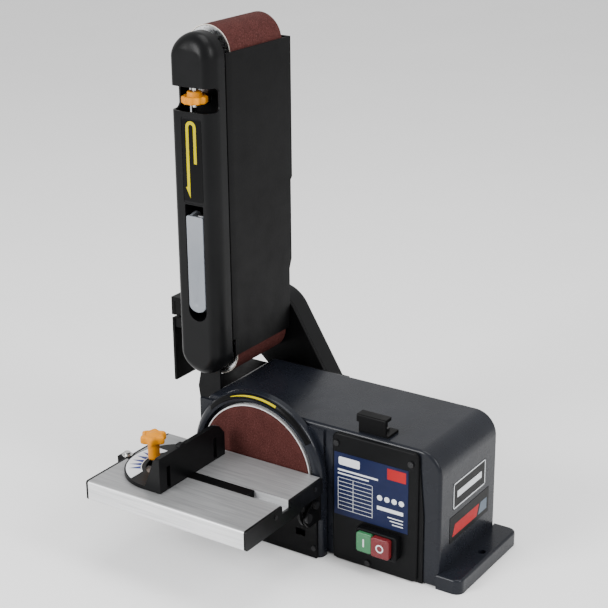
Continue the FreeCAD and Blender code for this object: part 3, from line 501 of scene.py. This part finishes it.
# Sizes in millimetres; heights are above the bench.
COVER_WALL, COVER_DEEP = 2.4, 28.5
ROUND_ACROSS = (8, 14.5, 22, 15)            # front edge's rounding: left, right, top and foot
ROUND_DEEP = (9, 19, 17, 14)
LEVER_WAY = (256.0, 398.0)
KNOB_WINDOW = (506.5, 534.5, 31.0)          # low, high and depth
KNOB_WINDOW_ROUND = 7
SKIRT = (496, 546)
LABEL_RECESS = 0.7
LABEL_MARGIN = (0.8, 2.5)


def rounding(nx, nz):
    """How far the cover's front edge is rounded, across and in depth, for an outline that faces (nx, nz)."""
    shares = (max(-nx, 0) ** 2, max(nx, 0) ** 2, max(nz, 0) ** 2, max(-nz, 0) ** 2)
    across = sum(share * size for share, size in zip(shares, ROUND_ACROSS))
    deep = sum(share * size for share, size in zip(shares, ROUND_DEEP))
    return across, deep


def bake(piece, cutters=()):
    """Turns a piece's modifiers, and the shapes cut out of it, into plain mesh."""
    for tool in cutters:
        change = piece.modifiers.new("cut", "BOOLEAN")
        change.operation = "DIFFERENCE"
        change.solver = "EXACT"
        change.object = tool
    bpy.context.view_layer.update()
    view = bpy.context.evaluated_depsgraph_get()
    mesh = bpy.data.meshes.new_from_object(piece.evaluated_get(view))
    piece.modifiers.clear()
    piece.data = mesh
    for tool in cutters:
        bpy.data.objects.remove(tool)


def ball(centre, radius):
    shape = bmesh.new()
    bmesh.ops.create_uvsphere(shape, u_segments=48, v_segments=48, radius=radius * MM,
                              matrix=Matrix.Translation(spot(*centre)))
    piece = bpy.data.objects.new("ball", from_bmesh(shape, "ball"))
    bpy.context.scene.collection.objects.link(piece)
    return piece


def cutter(outline, low, high, axis="Y"):
    shape = bmesh.new()
    prism(shape, outline, low, high, axis)
    piece = bpy.data.objects.new("cutter", from_bmesh(shape, "cutter", smooth=False))
    bpy.context.scene.collection.objects.link(piece)
    return piece


def lever_outline(grow=0.0):
    low, high = node_span("tension_lever")
    middle, half = (low.x + high.x) / 2, (high.x - low.x) / 2 + 1 + grow
    bottom, top = LEVER_WAY[0] - grow, LEVER_WAY[1] + grow
    corner = 1.5
    return (arc((middle, bottom + half), half, 180, 360, 28)
            + arc((middle + half - corner, top - corner), corner, 0, 90, 4)
            + arc((middle - half + corner, top - corner), corner, 90, 180, 4))


def arm_cover():
    low, high = node_span("arm_cover")
    half = (high.x - low.x) / 2
    middle, front, back = (low.x + high.x) / 2, low.y, low.y + COVER_DEEP
    top, bottom = high.z - half, low.z + half
    steps, bends = 72, 10
    stations = [(math.cos(math.pi * i / steps), math.sin(math.pi * i / steps), top) for i in range(steps + 1)]
    stations += [(-nx, -nz, bottom) for nx, nz, _ in stations]
    shape = bmesh.new()
    rings = []
    for bend in range(-1, bends + 1):
        ring = []
        for nx, nz, level in stations:
            across, deep = rounding(nx, nz)
            turn = math.pi / 2 * max(bend, 0) / bends
            reach = half - across * (1 - math.cos(turn))
            depth = back if bend < 0 else front + deep * (1 - math.sin(turn))
            ring.append(shape.verts.new(spot(middle + reach * nx, depth, level + reach * nz)))
        rings.append(ring)
    count = len(stations)
    for outer, inner in zip(rings, rings[1:]):
        for i in range(count):
            shape.faces.new((outer[i], outer[(i + 1) % count], inner[(i + 1) % count], inner[i]))
    shape.faces.new(rings[-1])
    cover = new_piece("front_cover", from_bmesh(shape, "front_cover"), "plastic", "belt_arm")
    wall = cover.modifiers.new("wall", "SOLIDIFY")
    wall.thickness = COVER_WALL * MM
    wall.offset = -1
    label_low, label_high = node_span("direction_label")
    window_low, window_high, window_deep = KNOB_WINDOW
    corner = KNOB_WINDOW_ROUND
    groove = arc((window_deep - corner, window_high - corner), corner, 90, 0, 8)
    groove += arc((window_deep - corner, window_low + corner), corner, 0, -90, 8)
    groove += [(0, window_low), (0, window_high)]
    beside, above = LABEL_MARGIN
    recess = rectangle(label_low.x - beside, label_high.x + beside,
                       label_low.z - above, label_high.z + above, 3)
    bake(cover, [cutter(groove, low.x - 5, high.x + 5, "X"), cutter(lever_outline(), 0, 60),
                 cutter(recess, 0, front + LABEL_RECESS)])
    bevelled(cover, 0.6, 3)
    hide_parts("arm_cover")
    tray = bmesh.new()
    prism(tray, lever_outline(2.0), front + 1.6, high.y - 8.5)
    liner = new_piece("lever_tray", from_bmesh(tray, "lever_tray", smooth=False), "plastic", "belt_arm")
    bake(liner, [cutter(lever_outline(), 0, high.y - 10.5)])
    bevelled(liner, 0.3, 2)
    skirt = bmesh.new()
    inside = low.x + COVER_WALL
    prism(skirt, [(low.x, back - 1), (inside, back - 1), (inside, high.y), (low.x, high.y)], *SKIRT, "Z")
    bevelled(new_piece("cover_skirt", from_bmesh(skirt, "cover_skirt", smooth=False), "plastic", "belt_arm"), 0.4, 2)


# ---------------------------------------------------------------- printed and applied details

def flat_piece(name, outlines, low, high, key, body, axis="Y"):
    """Thin film pieces cut to outlines."""
    shape = bmesh.new()
    for outline in outlines:
        prism(shape, outline, low, high, axis)
    return new_piece(name, from_bmesh(shape, name, smooth=False), key, body)


SHROUD_RADIUS, SHROUD_ROUND = 92.0, 8.0
SHROUD_BAND = (84.2, 90.6)
SHROUD_ARROW = 87.6                         # radius of the arrow's middle line
UPPER_BADGE = 32


def direction_arrow():
    """A U-turn arrow that shows which way the belt runs, on a film in the cover's recess."""
    low, high = node_span("direction_label")
    floor_y = high.y + LABEL_RECESS
    film = flat_piece("direction_film", [rectangle(low.x, high.x, low.z, high.z, 2.2)], floor_y - 0.25,
                      floor_y + 0.05, "dark_film", "belt_arm")
    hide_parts("direction_label")
    left, right = low.x + 5.0, low.x + 19.5
    wide = 4.0
    top, foot, tip = high.z - 9, high.z - 51, low.z + 4
    middle, reach = (left + right) / 2, (right - left) / 2
    outer = arc((middle, top), reach, 0, 180, 24)
    inner = arc((middle, top), reach - wide, 180, 0, 24)
    point = [(left, tip + 13), (left - 2.2, tip + 12.4), (left + wide, tip)]
    outline = [(right, foot)] + outer + point + inner + [(right - wide, foot)]
    flat_piece("direction_arrow", [outline], floor_y - 0.4, floor_y - 0.2, "yellow_film", "belt_arm")


def shroud_face(radius):
    """Depth of the shroud's rounded front at a radius from the disc's axis."""
    over = max(radius - SHROUD_RADIUS + SHROUD_ROUND, 0)
    return SHROUD_ROUND - math.sqrt(SHROUD_ROUND ** 2 - over ** 2)


def ring_film(name, start, end, edges, lift, key, steps=72, strips=8):
    """A film that lies on the shroud between two angles; edges gives its inner and outer radius along it."""
    shape = bmesh.new()
    rows = []
    for i in range(steps + 1):
        angle = math.radians(start + (end - start) * i / steps)
        inner, outer = edges(i / steps)
        row = []
        for k in range(strips + 1):
            radius = inner + (outer - inner) * k / strips
            row.append(shape.verts.new(spot(radius * math.cos(angle), shroud_face(radius) - lift,
                                            DISC.z / MM + radius * math.sin(angle))))
        rows.append(row)
    for one, other in zip(rows, rows[1:]):
        for k in range(strips):
            shape.faces.new((one[k], one[k + 1], other[k + 1], other[k]))
    piece = new_piece(name, from_bmesh(shape, name), key, "base")
    thick = piece.modifiers.new("thick", "SOLIDIFY")
    thick.thickness = 0.08 * MM
    thick.offset = 0


def shroud_band():
    """The black band on the disc shroud's face, with its tapered arrow for the disc's turn."""
    ring_film("shroud_band", 32, 138, lambda share: SHROUD_BAND, 0.1, "dark_film")

    def taper(share):
        spread = 0.3 + 0.9 * math.sin(math.pi * min(share * 0.62, 1))
        return SHROUD_ARROW - spread, SHROUD_ARROW + spread

    ring_film("shroud_arrow", 113, 70, taper, 0.22, "yellow_film", 40, 3)


def label_print():
    """Plain blocks and ruled lines on the rating label, with nothing written."""
    low, high = node_span("rating_label")
    face = low.y
    pale = [rectangle(low.x + 6, low.x + 34, high.z - 15, high.z - 5, 2),
            rectangle(low.x + 5, low.x + 58, high.z - 22.5, high.z - 20.3),
            rectangle(low.x + 5, low.x + 46, high.z - 27, high.z - 25.2)]
    rows, left, right = 8, low.x + 5, low.x + 51
    top, step = high.z - 31, 5.0
    for row in range(rows + 1):
        pale.append(rectangle(left, right, top - row * step - 0.45, top - row * step))
    for x in (left, left + 20, right - 0.5):
        pale.append(rectangle(x, x + 0.5, top - rows * step, top))
    for index in range(4):
        x = low.x + 57 + index * 9.4
        pale.append(arc((x + 3.4, low.z + 36), 3.4, 0, 345, 23))
    pale.append(rectangle(low.x + 57, high.x - 6, low.z + 21, low.z + 25.5))
    for row in range(3):
        pale.append(rectangle(high.x - 26 + row * 3, high.x - 6,
                              low.z + 14 - row * 4, low.z + 15.2 - row * 4))
    flat_piece("label_lines", pale, face - 0.08, face + 0.05, "pale_film", "base")
    flat_piece("label_tag", [rectangle(low.x + 70, high.x - 3, high.z - 17, high.z - 3.5)], face - 0.1,
               face + 0.05, "red_film", "base")


def badge_print():
    """Plain frames and a stripe on the two end badges."""
    low, high = node_span("end_badges")
    face = high.x
    top_z, mid_z = high.z, high.z - UPPER_BADGE
    base_z = low.z
    pale = []
    y0, y1 = low.y + 7, high.y - 11
    for a, b, c, d in ((y0, y1, mid_z, mid_z + 1.4), (y0, y1, top_z - 1.4, top_z),
                       (y0, y0 + 1.4, mid_z, top_z), (y1 - 1.4, y1, mid_z, top_z)):
        pale.append([(a, c), (b, c), (b, d), (a, d)])
    pale.append([(y0 + 9, mid_z + 12), (y1 - 9, mid_z + 12), (y1 - 9, top_z - 12), (y0 + 9, top_z - 12)])
    flat_piece("badge_frame", pale, face - 0.05, face + 0.08, "pale_film", "base", axis="X")
    stripe = [[(low.y + 6, base_z + 6), (high.y - 30, base_z + 6),
               (high.y - 24, base_z + 20), (low.y + 12, base_z + 20)]]
    flat_piece("badge_stripe", stripe, face - 0.05, face + 0.08, "red_film", "base", axis="X")
    tail = [[(high.y - 26, base_z + 6), (high.y - 5, base_z + 6),
             (high.y - 5, base_z + 20), (high.y - 20, base_z + 20)]]
    flat_piece("badge_tail", tail, face - 0.05, face + 0.08, "grey_film", "base", axis="X")


def mitre_graduations():
    """Blue triangles round the sector of pale scale left of the protractor's pivot."""
    head_low, _ = node_span("mitre_head")
    bar_low, bar_high = node_span("mitre_bar")
    centre = (head_low.x + 58, (bar_low.y + bar_high.y) / 2)
    face = node_span("mitre_scale")[1].z
    triangles = []
    for angle in range(160, 232, 12):
        base = arc(centre, 39, angle - 5, angle + 5, 1)
        triangles.append(base + arc(centre, 53, angle, angle + 0.2, 1)[:1])
    flat_piece("scale_triangles", triangles, face - 0.05, face + 0.06, "violet_film", "gauge_head",
               axis="Z")


def button_marks():
    """A bar on the start button and a ring on the stop button."""
    low, high = node_span("start_button")
    x, z = (low.x + high.x) / 2, (low.z + high.z) / 2
    flat_piece("start_mark", [rectangle(x - 0.9, x + 0.9, z - 5, z + 5, 0.4)], low.y - 0.12, low.y + 0.1,
               "pale_film", "start")
    low, high = node_span("stop_button")
    centre = ((low.x + high.x) / 2, (low.z + high.z) / 2)
    shape = bmesh.new()
    steps = 40
    for i in range(steps):
        a, b = 360 * i / steps, 360 * (i + 1) / steps
        prism(shape, arc(centre, 5.0, a, b, 1) + arc(centre, 3.5, b, a, 1), low.y - 0.12, low.y + 0.1)
    bmesh.ops.remove_doubles(shape, verts=shape.verts, dist=0.000001)
    new_piece("stop_mark", from_bmesh(shape, "stop_mark", smooth=False), "pale_film", "stop")


def spring():
    """A coil in place of the plain tube that stands for it."""
    low, high = node_span("tension_spring")
    radius = (high.x - low.x) / 2 - 0.6
    centre = ((low.x + high.x) / 2, (low.y + high.y) / 2)
    turns, per_turn, wire, sides = 8, 20, 0.6, 8
    shape = bmesh.new()
    rings = []
    for i in range(turns * per_turn + 1):
        angle = math.tau * i / per_turn
        z = low.z + wire + (high.z - low.z - 2 * wire) * i / (turns * per_turn)
        ring = []
        for k in range(sides):
            around = math.tau * k / sides
            reach = radius + wire * math.cos(around)
            across, deep = centre[0] + reach * math.cos(angle), centre[1] + reach * math.sin(angle)
            ring.append(shape.verts.new(spot(across, deep, z + wire * math.sin(around))))
        rings.append(ring)
    for one, other in zip(rings, rings[1:]):
        for k in range(sides):
            shape.faces.new((one[k], one[(k + 1) % sides], other[(k + 1) % sides], other[k]))
    shape.faces.new(list(reversed(rings[0])))
    shape.faces.new(rings[-1])
    piece = new_piece("tension_coil", from_bmesh(shape, "tension_coil"), "steel", "belt_arm")
    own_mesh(piece)
    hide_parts("tension_spring")


arm_cover()
mitre_knob()
tracking_knob()
tension_lever()
direction_arrow()
shroud_band()
label_print()
badge_print()
mitre_graduations()
button_marks()
spring()


# ---------------------------------------------------------------- stage, lights and camera

def floor():
    mesh = bpy.data.meshes.new("floor")
    size = 30.0
    corners = [(-size, -size, 0), (size, -size, 0), (size, size, 0), (-size, size, 0)]
    mesh.from_pydata(corners, [], [(0, 1, 2, 3)])
    piece = bpy.data.objects.new("floor", mesh)
    bpy.context.scene.collection.objects.link(piece)
    mat, tree, shader = new_material("floor_paper")
    tone = ramp(tree, noise(tree, 3, 3), "Fac", [(0.3, (0.93, 0.93, 0.93)), (0.7, (0.95, 0.95, 0.95))])
    link(tree, tone, "Color", shader, "Base Color")
    shader.inputs["Roughness"].default_value = 0.75
    mesh.materials.append(mat)


def softbox(name, at, towards, size, power):
    data = bpy.data.lights.new(name, "AREA")
    data.shape = "RECTANGLE"
    data.size, data.size_y = size
    data.energy = power
    lamp = bpy.data.objects.new(name, data)
    lamp.location = at
    lamp.rotation_euler = (Vector(at) - Vector(towards)).to_track_quat("Z", "Y").to_euler()
    bpy.context.scene.collection.objects.link(lamp)


def studio():
    world = bpy.data.worlds.new("studio")
    world.use_nodes = True
    back = world.node_tree.nodes["Background"]
    back.inputs["Color"].default_value = (1.0, 1.0, 1.0, 1)
    back.inputs["Strength"].default_value = 1.0
    bpy.context.scene.world = world
    middle = (0, 0, 0.2)
    softbox("key", (-0.9, -2.1, 1.3), middle, (0.9, 1.3), 62)
    softbox("side", (1.9, -0.2, 1.5), middle, (0.5, 1.3), 30)
    softbox("top", (0.1, 0.2, 2.6), middle, (1.6, 1.2), 30)


EYE = (0.85021, -1.36766, 0.88339)          # metres
AZIMUTH, ELEVATION, ROLL = 33.70, 20.32, -0.57
SENSOR, LENS = 36, 88.18                    # millimetres


def camera():
    data = bpy.data.cameras.new("camera")
    data.sensor_width = SENSOR
    data.lens = LENS
    data.clip_start, data.clip_end = 0.01, 100
    eye = bpy.data.objects.new("camera", data)
    azimuth, elevation, roll = (math.radians(angle) for angle in (AZIMUTH, ELEVATION, ROLL))
    turn = (Matrix.Rotation(azimuth, 4, "Z") @ Matrix.Rotation(math.pi / 2 - elevation, 4, "X")
            @ Matrix.Rotation(roll, 4, "Z"))
    eye.matrix_world = Matrix.Translation(EYE) @ turn
    bpy.context.scene.collection.objects.link(eye)
    bpy.context.scene.camera = eye


floor()
studio()
camera()
